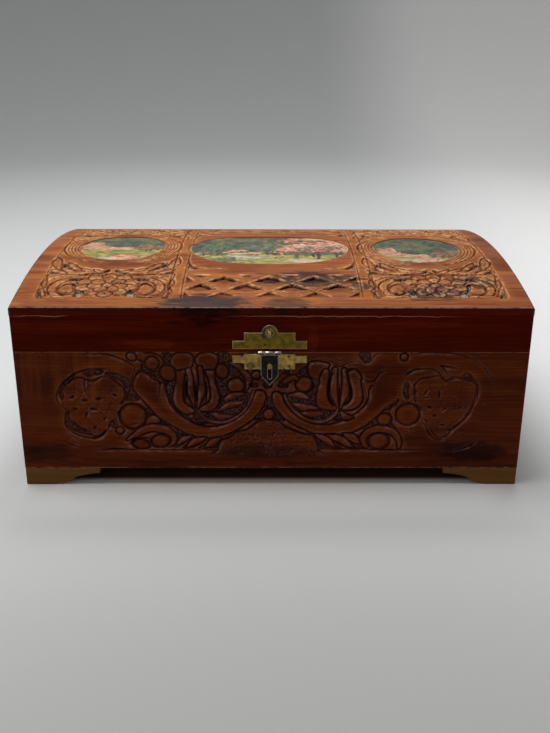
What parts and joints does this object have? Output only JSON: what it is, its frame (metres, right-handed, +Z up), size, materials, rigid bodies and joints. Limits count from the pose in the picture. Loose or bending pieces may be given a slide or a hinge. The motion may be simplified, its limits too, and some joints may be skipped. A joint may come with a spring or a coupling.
{
  "type": "keepsake box",
  "caption": "Carved cedar box for papers and keepsakes with a domed hinged lid, inlaid oval pictures, bracket feet and a brass hasp with a fold-down tongue.",
  "frame": {"origin": "on the ground, under the middle of the whole object's outline", "axes": "+X along the front to the right, +Y from the hasp towards the hinges, +Z up"},
  "size_m": [0.305, 0.2094, 0.1258],
  "materials": {
    "cedar": "varnished red cedar, satin",
    "foot_wood": "varnished pale wood, satin",
    "picture": "varnished paper print",
    "plate_brass": "aged and speckled",
    "tongue_brass": "dark patina, worn bright at the edges",
    "hinge_brass": "aged",
    "nail_brass": "aged, dark"
  },
  "bodies": {
    "case": {"floor_board": "cedar", "front_board": "cedar", "back_board": "cedar", "left_board": "cedar", "right_board": "cedar", "front_left_foot_face": "foot_wood", "front_left_foot_side": "foot_wood", "front_right_foot_face": "foot_wood", "front_right_foot_side": "foot_wood", "back_left_foot_face": "foot_wood", "back_left_foot_side": "foot_wood", "back_right_foot_face": "foot_wood", "back_right_foot_side": "foot_wood", "hasp_lower_plate": "plate_brass", "hasp_pin": "tongue_brass", "hasp_lower_nails": "nail_brass", "left_hinge_case_leaf": "hinge_brass", "left_hinge_pin": "hinge_brass", "right_hinge_case_leaf": "hinge_brass", "right_hinge_pin": "hinge_brass", "hinge_case_screws": "nail_brass"},
    "lid": {"lid_front_rail": "cedar", "lid_back_rail": "cedar", "lid_left_rail": "cedar", "lid_right_rail": "cedar", "top_board_1": "cedar", "top_board_2": "cedar", "top_board_3": "cedar", "top_board_4": "cedar", "top_board_5": "cedar", "left_picture": "picture", "middle_picture": "picture", "right_picture": "picture", "hasp_upper_plate": "plate_brass", "hasp_upper_nails": "nail_brass", "left_hinge_lid_leaf": "hinge_brass", "right_hinge_lid_leaf": "hinge_brass", "hinge_lid_screws": "nail_brass"},
    "hasp_tongue": {"hasp_tongue": "tongue_brass"},
    "keeper": {"keeper": "plate_brass"}
  },
  "joints": [
    {"name": "lid_hinge", "type": "hinge", "parent": "case", "child": "lid", "pos_m": [0, 0.10285, 0.088], "axis": [-1, 0, 0], "range_deg": [0, 105]},
    {"name": "tongue_hinge", "type": "hinge", "parent": "case", "child": "hasp_tongue", "pos_m": [-0.0013, -0.0999, 0.088], "axis": [-1, 0, 0], "range_deg": [0, 180]},
    {"name": "keeper_turn", "type": "hinge", "parent": "lid", "child": "keeper", "pos_m": [-0.0013, -0.09825, 0.1002], "axis": [0, -1, 0], "range_deg": [0, 90]}
  ]
}
